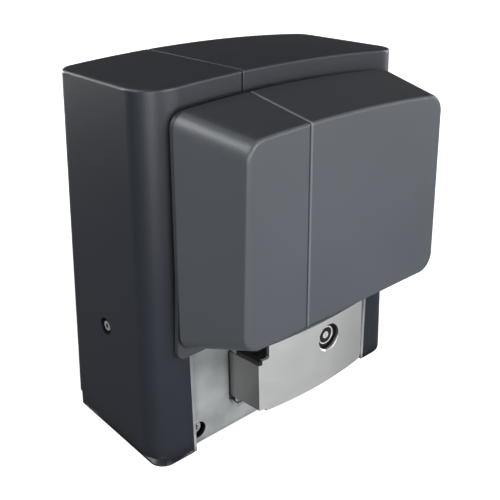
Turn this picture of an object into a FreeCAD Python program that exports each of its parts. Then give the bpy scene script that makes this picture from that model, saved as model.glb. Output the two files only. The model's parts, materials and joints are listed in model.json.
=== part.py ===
import FreeCAD, Part
import math
import os
import re

import Sketcher

# Sliding gate operator: housing, control box, release lever, worm gear unit and motor.
#
# Frame: millimetres, +Z up, the front looks along -Y. The origin is on the ground in the
# middle of the housing's footprint. Every driving size is a cell of the Sizes sheet.

Vector = FreeCAD.Vector
Rotation = FreeCAD.Rotation
doc = FreeCAD.newDocument("SlidingGateMotor")
sheet = doc.addObject("Spreadsheet::Sheet", "Sizes")
nodes = []

SIZES = {
    # housing
    "case_width": 300.6, "case_depth": 143.2, "case_height": 325.0, "crown_radius": 1494.0,
    "case_side_lean": 0.039, "case_back_lean": 0.047, "case_front_round": 27.0,
    "case_back_round": 13.0, "case_wall": 3.0, "case_top_round": 2.5, "seam_height": 3.2,
    "trim_high": 2.4, "trim_round": 14.0, "trim_proud": 0.1, "rear_cut_high": 13.0,
    "groove_place": -51.8, "groove_width": 1.4, "groove_depth": 1.2, "groove_round": 0.7,
    "front_mid": -3.0, "opening_half": 111.2, "opening_top": 296.0,
    "notch_half": 46.0, "notch_top": 151.0,
    "side_screw_place": 4.4, "side_screw_height": 107.0, "side_recess_radius": 8.0,
    # control box and its cover
    "cover_rear": -79.9, "cover_front": -145.1, "cover_wall": 3.0,
    "cover_rear_low_half": 124.5, "cover_rear_high_half": 120.0, "cover_rear_low": 111.0,
    "cover_rear_high": 310.0, "cover_front_low_half": 112.0, "cover_front_high_half": 106.5,
    "cover_front_low": 133.0, "cover_front_high": 298.6, "cover_crown_radius": 1250.0,
    "cover_round": 16.0, "cover_edge_round": 2.8, "cover_screw_place": 62.0,
    "tray_low": 102.5, "tray_high": 303.0, "tray_low_half": 126.0, "tray_high_half": 116.0,
    "tray_rear": -71.9, "tray_front": -76.6, "tray_wall": 3.0, "tray_round": 7.0,
    "board_place": -88.0,
    # gear unit
    "plate_front": -66.8, "plate_thick": 5.0, "plate_low": 3.0, "plate_high": 118.0,
    "strip_thick": 2.6, "strip_high": 100.0, "plate_screw_place": 102.5,
    "plate_screw_height": 16.5, "plate_screw_recess": 8.2, "plate_screw_sink": 4.5,
    "shaft_height": 83.0, "gear_middle": 8.0, "gear_module": 2.5, "wheel_teeth": 30,
    "worm_pitch_radius": 10.0, "worm_root_radius": 7.2, "wheel_width": 18.0,
    "chamber_radius": 43.0, "chamber_wall": 6.0, "chamber_front": -18.0, "chamber_rear": 26.0,
    "bearing_outer": 26.0, "bearing_width": 15.0, "shaft_radius": 12.5, "running_gap": 0.05,
    "foot_thick": 10.0, "foot_half": 104.0, "foot_spacing_x": 150.0, "foot_spacing_y": 90.0,
    "foot_hole_radius": 5.5, "rear_plate_place": 58.0,
    # pinion
    "pinion_module": 4.0, "pinion_teeth": 18, "pinion_width": 28.0, "pinion_start": 71.0,
    # motor
    "motor_radius": 47.0, "motor_low": 134.0, "motor_high": 236.0, "rotor_radius": 27.0,
    # release lever
    "lever_mid": -1.0, "lever_half": 67.5, "lever_low": 34.0, "lever_high": 98.0,
    "lever_low_bulge": 108.7, "lever_high_bulge": 106.2, "lever_low_curve": 380.0,
    "lever_high_curve": 520.0, "lever_skin": 3.0, "lever_lean": 3.2, "lever_right_lean": 0.6, "lever_round": 1.0,
    "lever_rear": -65.5, "lever_foot_round": 5.0,
    "tab_width": 14.2, "tab_step": 10.0, "tab_low": 36.5, "tab_high": 82.0, "tab_face_high": 85.9,
    "tab_wrap": 7.0, "ear_low": 27.4, "ear_thick": 3.2,
    "hinge_x": -63.9, "hinge_y": -72.1, "hinge_radius": 2.5, "knuckle_radius": 4.4,
    "lock_x": 16.5, "lock_height": 79.5, "lock_recess": 12.8, "lock_radius": 7.7, "lock_core_radius": 3.4,
    "grommet_x": -76.0, "grommet_y": 12.0,
    "lock_floor": -100.6, "spindle_x": -24.0, "spindle_height": 138.0, "spindle_radius": 3.0,
}


def fill_sheet():
    for row, (name, number) in enumerate(SIZES.items(), start=1):
        sheet.set("A%d" % row, name)
        sheet.set("B%d" % row, repr(number))
        sheet.setAlias("B%d" % row, name)
    doc.recompute()


# ---------------------------------------------------------------- the sheet's formulas
def expr(text):
    """The text with every size's name written as a cell of the sheet."""
    def cell(found):
        word = found.group()
        return "Sizes." + word if word in SIZES else word
    return re.sub(r"[a-z_]+", cell, str(text))


def value(text):
    """The number that a text such as 'case_width / 2' stands for."""
    return float(sheet.evalExpression(expr(text)))


def bind(item, **texts):
    for name, text in texts.items():
        item.setExpression(name, expr(text))
    return item


def place(item, at, axis=None, angle=0):
    """Turn an object about an axis through its own origin and bind its position."""
    if axis is not None:
        item.Placement = FreeCAD.Placement(Vector(), Rotation(Vector(*axis), angle))
    for name, text in zip("xyz", at):
        item.setExpression("Placement.Base." + name, expr(text))
    return item


# ---------------------------------------------------------------- solids from primitives
AXIS_TURNS = {"z": (None, 0), "y": ((1, 0, 0), -90), "x": ((0, 1, 0), 90)}


def box(name, low, high):
    """A block from its lowest to its highest corner."""
    item = doc.addObject("Part::Box", name)
    sides = ["(%s) - (%s)" % (end, start) for start, end in zip(low, high)]
    bind(item, Length=sides[0], Width=sides[1], Height=sides[2])
    return place(item, low)


def rod(name, radius, start, length, axis="z"):
    """A cylinder that leaves the point start along +X, +Y or +Z."""
    item = doc.addObject("Part::Cylinder", name)
    bind(item, Radius=radius, Height=length)
    return place(item, start, *AXIS_TURNS[axis])


def fuse(name, *items):
    item = doc.addObject("Part::MultiFuse", name)
    item.Shapes = list(items)
    return item


def cut(name, base, *tools):
    item = doc.addObject("Part::Cut", name)
    item.Base = base
    item.Tool = tools[0] if len(tools) == 1 else fuse(name + "_tools", *tools)
    return item


def common(name, base, tool):
    item = doc.addObject("Part::Common", name)
    item.Base = base
    item.Tool = tool
    return item


def round_edges(name, base, radius, wanted):
    """Round the edges of base that the function wanted picks out."""
    doc.recompute()
    size = value(radius)
    item = doc.addObject("Part::Fillet", name)
    item.Base = base
    item.Edges = [(i, size, size) for i, edge in enumerate(base.Shape.Edges, 1) if wanted(edge)]
    return item


def ring(name, outer, inner, start, length, axis="z"):
    """A tube; the bore runs a little past both ends."""
    past = {"x": (1, 0, 0), "y": (0, 1, 0), "z": (0, 0, 1)}[axis]
    bore_start = ["(%s) - %d" % (text, step) for text, step in zip(start, past)]
    return cut(name, rod(name + "_outside", outer, start, length, axis),
               rod(name + "_bore", inner, bore_start, "(%s) + 2" % length, axis))


def node(label, item):
    """Name a finished piece; its file takes the same name."""
    item.Label = label
    nodes.append(item)
    return item


# ---------------------------------------------------------------- sketches and features
PLANES = {"plan": ("XY_Plane", 1), "front": ("XZ_Plane", -1), "side": ("YZ_Plane", 1)}


def new_body(name):
    return doc.addObject("PartDesign::Body", name)


def new_sketch(body, name, plane, level):
    """A sketch on the body's own plan, front or side plane, moved to a level."""
    role, sign = PLANES[plane]
    sketch = body.newObject("Sketcher::SketchObject", name)
    own_plane = next(part for part in body.Origin.OriginFeatures if part.Role == role)
    sketch.AttachmentSupport = (own_plane, "")
    sketch.MapMode = "FlatFace"
    sketch.setExpression("AttachmentOffset.Base.z", expr("%d * (%s)" % (sign, level)))
    return sketch


def hold(sketch, kind, *where, size):
    """Add one dimension to a sketch and bind it to the sheet."""
    index = sketch.addConstraint(Sketcher.Constraint(kind, *where, value(size)))
    sketch.renameConstraint(index, "size%d" % index)
    sketch.setExpression("Constraints.size%d" % index, expr(size))


def hold_point(sketch, geometry, point, x, y):
    hold(sketch, "DistanceX", geometry, point, size=x)
    hold(sketch, "DistanceY", geometry, point, size=y)


def polygon(sketch, points):
    """A closed outline of straight lines through the given points."""
    spots = [Vector(value(x), value(y), 0) for x, y in points]
    lines = [sketch.addGeometry(Part.LineSegment(start, end))
             for start, end in zip(spots, spots[1:] + spots[:1])]
    for line, after in zip(lines, lines[1:] + lines[:1]):
        sketch.addConstraint(Sketcher.Constraint("Coincident", line, 2, after, 1))
    for line, (x, y) in zip(lines, points):
        hold_point(sketch, line, 1, x, y)


def bearing_of(vector):
    return math.atan2(vector.y, vector.x)


def outline(sketch, corners, crown=None):
    """A closed outline of four round corners joined by tangent lines.

    Corners are (x, y, radius) of their circles, anticlockwise. With a crown, (x, y, radius,
    side), the line from the third to the fourth corner is an arc of that circle, the y of
    those two corners follows from it, and side says whether it is above or below its centre.
    """
    centres = []
    radii = [value(corner[2]) for corner in corners]
    for place_in_list, (x, y, radius) in enumerate(corners):
        if crown is not None and place_in_list > 1:
            reach = value("(%s) - (%s)" % (crown[2], radius))
            across = value(x) - value(crown[0])
            height = value(crown[1]) + crown[3] * math.sqrt(reach ** 2 - across ** 2)
        else:
            height = value(y)
        centres.append(Vector(value(x), height, 0))
    normals = []
    for i in range(4):
        step = centres[(i + 1) % 4] - centres[i]
        ahead = step * (1 / step.Length)
        lean = (radii[i] - radii[(i + 1) % 4]) / step.Length
        side = Vector(ahead.y, -ahead.x, 0)
        normal = side * math.sqrt(1 - lean ** 2) + ahead * lean
        normals.append((normal, normal))
    if crown is not None:
        middle = Vector(value(crown[0]), value(crown[1]), 0)
        normals[2] = tuple((centres[i] - middle).normalize() for i in (2, 3))
    pieces = []
    for i in range(4):
        arriving = normals[i - 1][1]
        leaving, landing = normals[i]
        arc = Part.Circle(centres[i], Vector(0, 0, 1), radii[i])
        pieces.append(sketch.addGeometry(
            Part.ArcOfCircle(arc, bearing_of(arriving), bearing_of(leaving))))
        start = centres[i] + leaving * radii[i]
        end = centres[(i + 1) % 4] + landing * radii[(i + 1) % 4]
        if crown is not None and i == 2:
            wide = Part.Circle(middle, Vector(0, 0, 1), value(crown[2]))
            curve = Part.ArcOfCircle(wide, bearing_of(leaving), bearing_of(landing))
        else:
            curve = Part.LineSegment(start, end)
        pieces.append(sketch.addGeometry(curve))
    for piece, after in zip(pieces, pieces[1:] + pieces[:1]):
        sketch.addConstraint(Sketcher.Constraint("Tangent", piece, 2, after, 1))
    for i, (x, y, radius) in enumerate(corners):
        hold(sketch, "Radius", pieces[2 * i], size=radius)
        hold(sketch, "DistanceX", pieces[2 * i], 3, size=x)
        if crown is None or i < 2:
            hold(sketch, "DistanceY", pieces[2 * i], 3, size=y)
    if crown is not None:
        hold(sketch, "Radius", pieces[5], size=crown[2])
        hold_point(sketch, pieces[5], 3, crown[0], crown[1])


def feature(body, kind, name, profile, **settings):
    item = body.newObject("PartDesign::" + kind, name)
    item.Profile = profile
    for key, setting in settings.items():
        if isinstance(setting, str) and key in ("Length", "Length2", "Pitch", "Height"):
            item.setExpression(key, expr(setting))
        else:
            setattr(item, key, setting)
    return item


# ---------------------------------------------------------------- housing
def case_sides(name, inset, low, high):
    """The housing's drafted body between two levels, drawn in by inset."""
    body = new_body(name + "_sides")
    sections = []
    for level in (low, high):
        half = "case_width / 2 - case_side_lean * (%s)" % level
        back = "case_depth / 2 - case_back_lean * (%s)" % level
        front_x = half + " - case_front_round"
        back_x = half + " - case_back_round"
        front_y = "case_front_round - case_depth / 2"
        back_y = back + " - case_back_round"
        front_radius = "case_front_round - (%s)" % inset
        back_radius = "case_back_round - (%s)" % inset
        sketch = new_sketch(body, name + "_section", "plan", level)
        outline(sketch, [("-(%s)" % front_x, front_y, front_radius),
                         (front_x, front_y, front_radius),
                         (back_x, back_y, back_radius),
                         ("-(%s)" % back_x, back_y, back_radius)])
        sections.append(sketch)
    feature(body, "AdditiveLoft", name + "_loft", sections[0], Sections=[sections[1]])
    return body


def case_solid(name, inset, low):
    """The same body under the housing's crowned top."""
    body = case_sides(name, inset, low, "case_height + 10")
    crown = rod(name + "_crown", "crown_radius - (%s)" % inset,
                ("0", "-case_depth / 2 - 20", "case_height - crown_radius"),
                "case_depth + 40", "y")
    return common(name, body, crown)


def case_groove():
    """The shallow line across the top and down the front."""
    side = ("groove_place - groove_width / 2", "groove_place + groove_width / 2")
    top = box("groove_top", (side[0], "-case_depth / 2 - 5", "case_height - 16"),
              (side[1], "case_depth / 2 + 5", "case_height + 5"))
    front = box("groove_front", (side[0], "-case_depth / 2 - 5", "tray_low"),
                (side[1], "-case_depth / 2 + 5", "case_height + 5"))
    core = round_edges("groove_core_rounded", case_solid("groove_core", "groove_depth",
                                                         "seam_height"),
                       "case_top_round - groove_depth", case_top_edge)
    return cut("case_groove", fuse("groove_slabs", top, front), core), core


def groove_edge(core):
    """A test for the groove's outer edges, which stand off the core that is its floor."""
    def wanted(edge):
        across = edge.BoundBox
        off_middle = abs((across.XMin + across.XMax) / 2 - value("groove_place"))
        if across.XLength > 0.01 or abs(off_middle - value("groove_width / 2")) > 0.01:
            return False
        middle = edge.valueAt((edge.FirstParameter + edge.LastParameter) / 2)
        return core.Shape.distToShape(Part.Vertex(middle))[0] > value("groove_depth") - 0.1
    return wanted


def case_top_edge(edge):
    """An edge of the crowned top: it lies high and meets a face of the crown's radius."""
    return edge.BoundBox.ZMin > value("case_height - 14")


def top_housing():
    outside = case_solid("case_outside", "0", "seam_height")
    rounded = round_edges("case_rounded", outside, "case_top_round", case_top_edge)
    inside = case_solid("case_inside", "case_wall", "seam_height - 1")
    opening = box("case_opening",
                  ("front_mid - opening_half", "-case_depth / 2 - 5", "seam_height - 1"),
                  ("front_mid + opening_half", "-case_depth / 2 + 9", "opening_top"))
    notch = box("case_notch", ("-notch_half", "case_depth / 2 - 20", "seam_height - 1"),
                ("notch_half", "case_depth / 2 + 5", "notch_top"))
    groove, groove_core = case_groove()
    rear_cut = box("case_rear_cut", ("-case_width / 2 - 5", "case_depth / 2 - case_back_round",
                                     "-1"),
                   ("case_width / 2 + 5", "case_depth / 2 + 5", "rear_cut_high"))
    grooved = cut("case_grooved", rounded, groove)
    soft = round_edges("case_groove_soft", grooved, "groove_round", groove_edge(groove_core))
    shell = cut("case_shell", soft, inside, opening, notch, rear_cut)
    bosses = []
    holes = []
    for side in (-1, 1):
        wall = "%d * (case_width / 2 - case_side_lean * side_screw_height)" % side
        centre = ("side_screw_place", "side_screw_height")
        inward = "(%s) - %d" % (wall, 8 if side > 0 else -1)
        bosses.append(rod("case_boss", "side_recess_radius + 3", (inward,) + centre, "7", "x"))
        floor = "(%s) - %s" % (wall, "4.5" if side > 0 else "0.5")
        start = floor if side > 0 else "(%s) - 5" % wall
        holes.append(rod("case_recess", "side_recess_radius", (start,) + centre, "9.5", "x"))
        holes.append(rod("case_screw_hole", "2.3", ("(%s) - 12" % wall,) + centre, "24", "x"))
    ribs = [box("case_rib", (x, "-case_depth / 2 + case_wall - 0.5", "tray_high + 1"),
                ("(%s) + 2" % x, "case_depth / 2 - case_wall - 15", "case_height - 5"))
            for x in ("-96", "-4", "88")]
    ribs_inside = common("case_ribs", fuse("rib_bars", *ribs),
                         case_solid("rib_limit", "case_wall - 0.5", "seam_height"))
    full = fuse("case_with_bosses", shell, ribs_inside, *bosses)
    return node("top_housing", cut("top_housing", full, *holes))


def base_trim():
    """The low frame under the housing; its lip stands inside the housing's wall."""
    outside = new_body("trim_plate")
    plan = new_sketch(outside, "trim_outline", "plan", "0")
    front_x = "case_width / 2 - trim_round"
    front_y = "trim_round - trim_proud - case_depth / 2"
    back_x = "case_width / 2 - case_back_round"
    back_y = "case_depth / 2 - case_back_round"
    outline(plan, [("-(%s)" % front_x, front_y, "trim_round"), (front_x, front_y, "trim_round"),
                   (back_x, back_y, "case_back_round"),
                   ("-(%s)" % back_x, back_y, "case_back_round")])
    feature(outside, "Pad", "trim_pad", plan, Length="trim_high")
    lip = case_sides("trim_lip", "case_wall + 0.2", "0", "seam_height + 8")
    inside = case_sides("trim_inside", "case_wall + 3", "-1", "seam_height + 9")
    opening = box("trim_opening", ("front_mid - opening_half", "-case_depth / 2 - 5", "-1"),
                  ("front_mid + opening_half", "-case_depth / 2 + 12", "seam_height + 9"))
    notch = box("trim_notch", ("-notch_half", "case_depth / 2 - 20", "-1"),
                ("notch_half", "case_depth / 2 + 5", "seam_height + 9"))
    rear_cut = box("trim_rear_cut", ("-case_width / 2 - 5", "case_depth / 2 - case_back_round",
                                     "-1"),
                   ("case_width / 2 + 5", "case_depth / 2 + 5", "rear_cut_high"))
    frame = cut("trim_frame", fuse("trim_blank", outside, lip), inside)
    halves = cut("trim_front_cut", frame, opening)
    return node("base_trim", cut("base_trim", cut("trim_notched", halves, notch), rear_cut))


# ---------------------------------------------------------------- control box
def cover_section(body, name, inset, level, share):
    """The cover's outline at a level; share runs from 0 at the rear rim to 1 at the front."""
    def between(rear, front):
        return "(%s * (1 - (%s)) + %s * (%s))" % (rear, share, front, share)
    low = between("cover_rear_low", "cover_front_low") + " + cover_round"
    low_x = between("cover_rear_low_half", "cover_front_low_half") + " - cover_round"
    high_x = between("cover_rear_high_half", "cover_front_high_half") + " - cover_round"
    crown_y = between("cover_rear_high", "cover_front_high") + " - cover_crown_radius"
    radius = "cover_round - (%s)" % inset
    sketch = new_sketch(body, name, "front", level)
    outline(sketch, [("front_mid - (%s)" % low_x, low, radius),
                     ("front_mid + (%s)" % low_x, low, radius),
                     ("front_mid + (%s)" % high_x, None, radius),
                     ("front_mid - (%s)" % high_x, None, radius)],
            crown=("front_mid", crown_y, "cover_crown_radius - (%s)" % inset, 1))
    return sketch


def cover_solid(name, inset, rear, front):
    """The cover's tapered block between two levels, drawn in by inset."""
    body = new_body(name)
    share = "((%s) - cover_rear) / (cover_front - cover_rear)"
    sections = [cover_section(body, name + "_section", inset, level, share % level)
                for level in (rear, front)]
    feature(body, "AdditiveLoft", name + "_loft", sections[0], Sections=[sections[1]])
    return body


def cover_front_edge(edge):
    return edge.BoundBox.YMax < value("cover_front + 0.01")


def cover_core_edge(edge):
    return edge.BoundBox.YMax < value("cover_front + groove_depth + 0.01")


def front_cover():
    block = cover_solid("cover_outside", "0", "cover_rear", "cover_front")
    rounded = round_edges("cover_rounded", block, "cover_edge_round", cover_front_edge)
    inside = cover_solid("cover_inside", "cover_wall", "cover_rear + 1",
                         "cover_front + cover_wall")
    slab = box("cover_slab",
               ("groove_place - groove_width / 2", "cover_front - 5", "cover_front_low - 40"),
               ("groove_place + groove_width / 2", "cover_rear + 5", "cover_rear_high + 20"))
    core = round_edges("cover_core_rounded",
                       cover_solid("cover_groove_core", "groove_depth", "cover_rear + 2",
                                   "cover_front + groove_depth"),
                       "cover_edge_round - groove_depth", cover_core_edge)
    grooved = cut("cover_grooved", rounded, cut("cover_groove", slab, core))
    soft = round_edges("cover_groove_soft", grooved, "groove_round", groove_edge(core))
    holes = [rod("cover_screw_hole", "2.3", (x, "cover_rear - 12", "cover_rear_low - 4"), "20")
             for x in cover_screw_xs()]
    seats = [rod("cover_screw_seat", "4.6", (x, "cover_rear - 12", "cover_rear_low - 4"), "6.2")
             for x in cover_screw_xs()]
    return node("front_cover", cut("front_cover", soft, inside, *holes, *seats))


def cover_screw_xs():
    return ("front_mid - cover_screw_place", "front_mid + cover_screw_place")


def screw(name, start, axis, head_radius, head, shank_radius, shank, flip=False):
    """A cap screw with a six-sided socket; start is the top of its head."""
    step = -1 if flip else 1
    offset = {"x": (1, 0, 0), "y": (0, 1, 0), "z": (0, 0, 1)}[axis]

    def along(distance):
        return tuple("(%s) + %s" % (text, step * part * distance)
                     for text, part in zip(start, offset))
    if flip:
        head_start = along(head)
        shank_start = along(head + shank)
        socket_start = along(head * 0.6)
    else:
        head_start = along(0)
        shank_start = along(head)
        socket_start = along(-0.5)
    top = rod(name + "_head", head_radius, head_start, str(head), axis)
    stem = rod(name + "_shank", shank_radius, shank_start, str(shank), axis)
    socket = doc.addObject("Part::Prism", name + "_socket")
    socket.Polygon = 6
    socket.Circumradius = head_radius * 0.55
    socket.Height = head * 0.6 + 0.5
    place(socket, socket_start, *AXIS_TURNS[axis])
    return cut(name, fuse(name + "_blank", top, stem), socket)


def control_tray():
    """The tray behind the cover: back wall, rim, locating lip, board pillars and feet."""
    body = new_body("tray_flange")
    sketch = new_sketch(body, "tray_edge", "front", "tray_rear")
    low = "tray_low + tray_round"
    low_x = "tray_low_half - 1 - tray_round"
    high_x = "tray_high_half - cover_round - 2"
    outline(sketch, [("front_mid - (%s)" % low_x, low, "tray_round"),
                     ("front_mid + (%s)" % low_x, low, "tray_round"),
                     ("front_mid + (%s)" % high_x, None, "cover_round - 2"),
                     ("front_mid - (%s)" % high_x, None, "cover_round - 2")],
            crown=("front_mid", "tray_high - cover_crown_radius", "cover_crown_radius", 1))
    feature(body, "Pad", "tray_pad", sketch, Length="tray_rear - tray_front")
    lip = cover_solid("lip_outside", "cover_wall + 0.5", "tray_rear - 1", "cover_rear - 6")
    hollow = cover_solid("tray_hollow", "cover_wall + 2.5", "tray_rear - tray_wall",
                         "cover_rear - 8")
    pan = cut("tray_pan", fuse("tray_blank", body, lip), hollow)
    corners = [(x, z) for x in ("front_mid - 88", "front_mid + 88") for z in ("142", "276")]
    pillars = [rod("board_pillar", "4", (x, "board_place + 0.3", z),
                   "tray_rear - 1 - board_place", "y") for x, z in corners]
    pilots = [rod("board_pilot", "1.65", (x, "board_place", z), "10", "y") for x, z in corners]
    feet = [box("tray_foot", (x, "tray_rear - 1", "tray_low + 2"),
                ("(%s) + 26" % x, "plate_front", "plate_high"))
            for x in ("front_mid - 83", "front_mid + 57")]
    tabs = [box("cover_tab", ("(%s) - 9" % x, "cover_rear - 18", "cover_rear_low + 13"),
                ("(%s) + 9" % x, "tray_rear - 2", "cover_rear_low + 16"))
            for x in cover_screw_xs()]
    slots = [box("tab_slot", ("(%s) - 2.4" % x, "cover_rear - 30", "cover_rear_low + 10"),
                 ("(%s) + 2.4" % x, "cover_rear - 9.6", "cover_rear_low + 20"))
             for x in cover_screw_xs()]
    wires = rod("wire_hole", "11", ("front_mid - 30", "tray_front - 2", "132"), "12", "y")
    whole = fuse("tray_whole", pan, *pillars, *feet, *tabs)
    return node("control_tray", cut("control_tray", whole, wires, *slots, *pilots))


def electronics():
    """The board with its blocks, and the parts that stand behind it in the housing."""
    board = box("board", ("front_mid - 96", "board_place - 1.6", "134"),
                ("front_mid + 96", "board_place", "284"))
    holes = [rod("board_hole", "1.8", (x, "board_place - 3", z), "6", "y")
             for x in ("front_mid - 88", "front_mid + 88") for z in ("142", "276")]
    node("control_board", cut("control_board", board, *holes))
    blocks = [box("terminal", ("front_mid - 80 + %d" % (step * 34), "board_place - 14", "148"),
                  ("front_mid - 50 + %d" % (step * 34), "board_place - 1.6", "160"))
              for step in range(5)]
    node("terminal_blocks", fuse("terminal_blocks", *blocks))
    relays = [box("relay", ("front_mid - 20 + %d" % (step * 24), "board_place - 17", "225"),
                  ("front_mid - 2 + %d" % (step * 24), "board_place - 1.6", "253"))
              for step in range(3)]
    node("board_relays", fuse("board_relays", *relays))
    node("board_capacitor", rod("board_capacitor", "11", ("front_mid + 72", "board_place - 31.6",
                                                          "185"), "30", "y"))
    heat_fins = [box("fin", ("front_mid - 84 + %d" % (step * 6), "board_place - 24", "188"),
                     ("front_mid - 82 + %d" % (step * 6), "board_place - 1.6", "262"))
                 for step in range(8)]
    fin_base = box("fin_base", ("front_mid - 84", "board_place - 6", "188"),
                   ("front_mid - 40", "board_place - 1.6", "262"))
    node("heat_sink", fuse("heat_sink", fin_base, *heat_fins))


def power_parts():
    shelf = box("shelf", ("-103", "-34", "134"), ("-14", "34", "136.5"))
    legs = [box("shelf_leg", (x, y, "foot_thick"), ("(%s) + 2.5" % x, "(%s) + 12" % y, "135"))
            for x, y in (("-103", "-34"), ("-103", "22"), ("-56", "20"), ("-56", "-34"))]
    node("power_shelf", fuse("power_shelf", shelf, *legs))
    stack = box("stack", ("-104", "-22", "136.5"), ("-26", "12", "201"))
    windows = [box("core_window", (x, "-23", "150"), ("(%s) + 13" % x, "13", "187"))
               for x in ("-90", "-53")]
    node("transformer_core", cut("transformer_core", stack, *windows))
    coil = box("coil", ("-89.7", "-33", "151"), ("-40.3", "23", "186.5"))
    limb = box("coil_hole", ("-77.2", "-22.2", "136"), ("-52.8", "12.2", "202"))
    node("transformer_coil", cut("transformer_coil", coil, limb))
    can_x, can_y = "120", "31"
    tags = [box("tag", ("%s + %d" % (can_x, step), can_y, "109"),
                ("%s + %d" % (can_x, step + 6), can_y + " + 1", "118")) for step in (-7, 1)]
    node("run_capacitor", fuse("run_capacitor",
                               rod("can", "15", (can_x, can_y, "14"), "94"),
                               rod("can_top", "13", (can_x, can_y, "107"), "3"), *tags))
    clip = ring("clip", "16.6", "15.05", (can_x, can_y, "60"), "14")
    post = box("clip_post", ("102", can_y + " - 6", "foot_thick"),
               ("104.5", can_y + " + 6", "74"))
    base = box("clip_base", ("92", can_y + " - 6", "foot_thick"),
               ("128", can_y + " + 6", "foot_thick + 2"))
    node("capacitor_clip", fuse("capacitor_clip", clip, post, base))


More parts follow.
